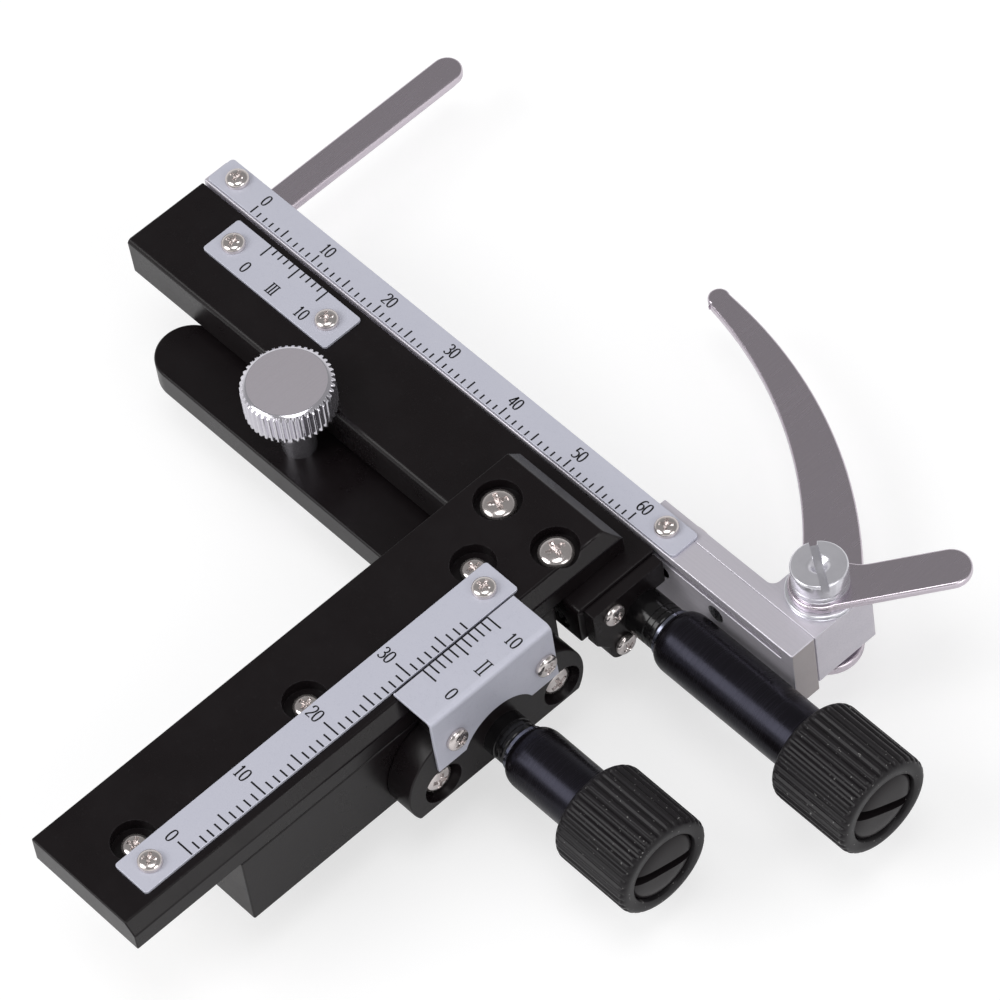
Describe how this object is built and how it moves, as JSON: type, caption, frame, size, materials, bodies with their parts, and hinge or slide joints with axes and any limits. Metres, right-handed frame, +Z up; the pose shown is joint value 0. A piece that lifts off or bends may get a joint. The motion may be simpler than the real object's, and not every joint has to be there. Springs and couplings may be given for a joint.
{
  "type": "mechanical microscope stage",
  "caption": "Clamp-on X-Y specimen mover: dovetail carriage and slide bar with scales, fixed and sprung fingers, and two grooved drive knobs.",
  "frame": {"origin": "axis of the clamp screw where it leaves the arm's underside, on the plane of the microscope's stage surface", "axes": "+Z up, away from the microscope's stage; +X along the slide bar towards the knobs; +Y towards the specimen fingers"},
  "size_m": [0.1096, 0.1048, 0.0219],
  "materials": {
    "black_paint": "semi-gloss, lightly textured",
    "black_metal": "satin black anodised",
    "black_knob": "satin",
    "bar_aluminium": "fine satin, bright edges",
    "scale_plate": "fine matte grain with black print",
    "finger_steel": "polished, bright bevels",
    "bright_steel": "polished",
    "screw_nickel": "nickel plated",
    "rack_brass": "machined"
  },
  "bodies": {
    "base": {"guide_block": "black_paint", "clamp_arm": "black_paint", "arm_screws": "screw_nickel", "locating_pin": "bright_steel", "y_flange": "black_paint", "y_flange_screws": "screw_nickel", "y_bushing": "black_metal", "y_vernier_plate": "scale_plate", "y_vernier_screws": "screw_nickel"},
    "clamp_screw": {"clamp_screw": "bright_steel"},
    "y_drive": {"y_pinion_shaft": "bright_steel", "y_washer": "bright_steel", "y_sleeve": "black_metal", "y_knob": "black_knob", "y_cap_screw": "black_knob"},
    "y_carriage": {"y_plate": "black_paint", "y_slider": "bar_aluminium", "y_rack": "rack_brass", "slider_screws": "screw_nickel", "y_scale_plate": "scale_plate", "y_scale_screws": "screw_nickel", "x_body": "black_paint", "plate_screws": "screw_nickel", "x_vernier_plate": "scale_plate", "x_vernier_screws": "screw_nickel", "x_guide_rail": "bar_aluminium", "x_end_plate": "black_paint", "end_plate_screws": "screw_nickel", "bushing_set_screw": "black_metal", "x_bushing": "black_metal", "x_tail_bearing": "bar_aluminium", "tail_bearing_screw": "screw_nickel"},
    "x_drive": {"x_screw_shaft": "bright_steel", "x_washer": "bright_steel", "x_sleeve": "black_metal", "x_knob": "black_knob", "x_cap_screw": "black_knob"},
    "x_slide": {"slide_bar": "bar_aluminium", "x_rack": "rack_brass", "x_scale_plate": "scale_plate", "x_scale_screws": "screw_nickel", "fixed_finger": "finger_steel", "fixed_finger_screw": "screw_nickel", "finger_bracket": "bar_aluminium", "bracket_screw": "screw_nickel", "bracket_dowel": "bright_steel", "pivot_collar": "bar_aluminium", "torsion_spring": "bright_steel"},
    "spring_finger": {"thumb_lever": "finger_steel", "pivot_shaft": "bright_steel", "pivot_screw": "bright_steel", "finger_blade": "finger_steel"}
  },
  "joints": [
    {"name": "clamp_turn", "type": "hinge", "parent": "base", "child": "clamp_screw", "pos_m": [0, 0, 0], "axis": [0, 0, 1], "continuous": true},
    {"name": "y_travel", "type": "slide", "parent": "base", "child": "y_carriage", "axis": [0, 1, 0], "range_m": [-0.0005, 0.0316]},
    {"name": "y_knob_turn", "type": "hinge", "parent": "base", "child": "y_drive", "pos_m": [0, -0.01, 0.0035], "axis": [1, 0, 0], "range_deg": [-725, 12]},
    {"name": "x_travel", "type": "slide", "parent": "y_carriage", "child": "x_slide", "axis": [1, 0, 0], "range_m": [-0.0548, 0.0051]},
    {"name": "x_knob_turn", "type": "hinge", "parent": "y_carriage", "child": "x_drive", "pos_m": [0, 0.01, 0.0048], "axis": [1, 0, 0], "range_deg": [-154, 1645]},
    {"name": "finger_swing", "type": "hinge", "parent": "x_slide", "child": "spring_finger", "pos_m": [0.0583, 0.02195, 0], "axis": [0, 0, 1], "range_deg": [-38, 0], "stiffness_Nm_per_rad": 0.03, "springref_deg": 34.38}
  ],
  "couplings": [
    {"joint": "y_knob_turn", "follows": "y_travel", "rad_per_m": -400},
    {"joint": "x_knob_turn", "follows": "x_travel", "rad_per_m": -523.6}
  ]
}
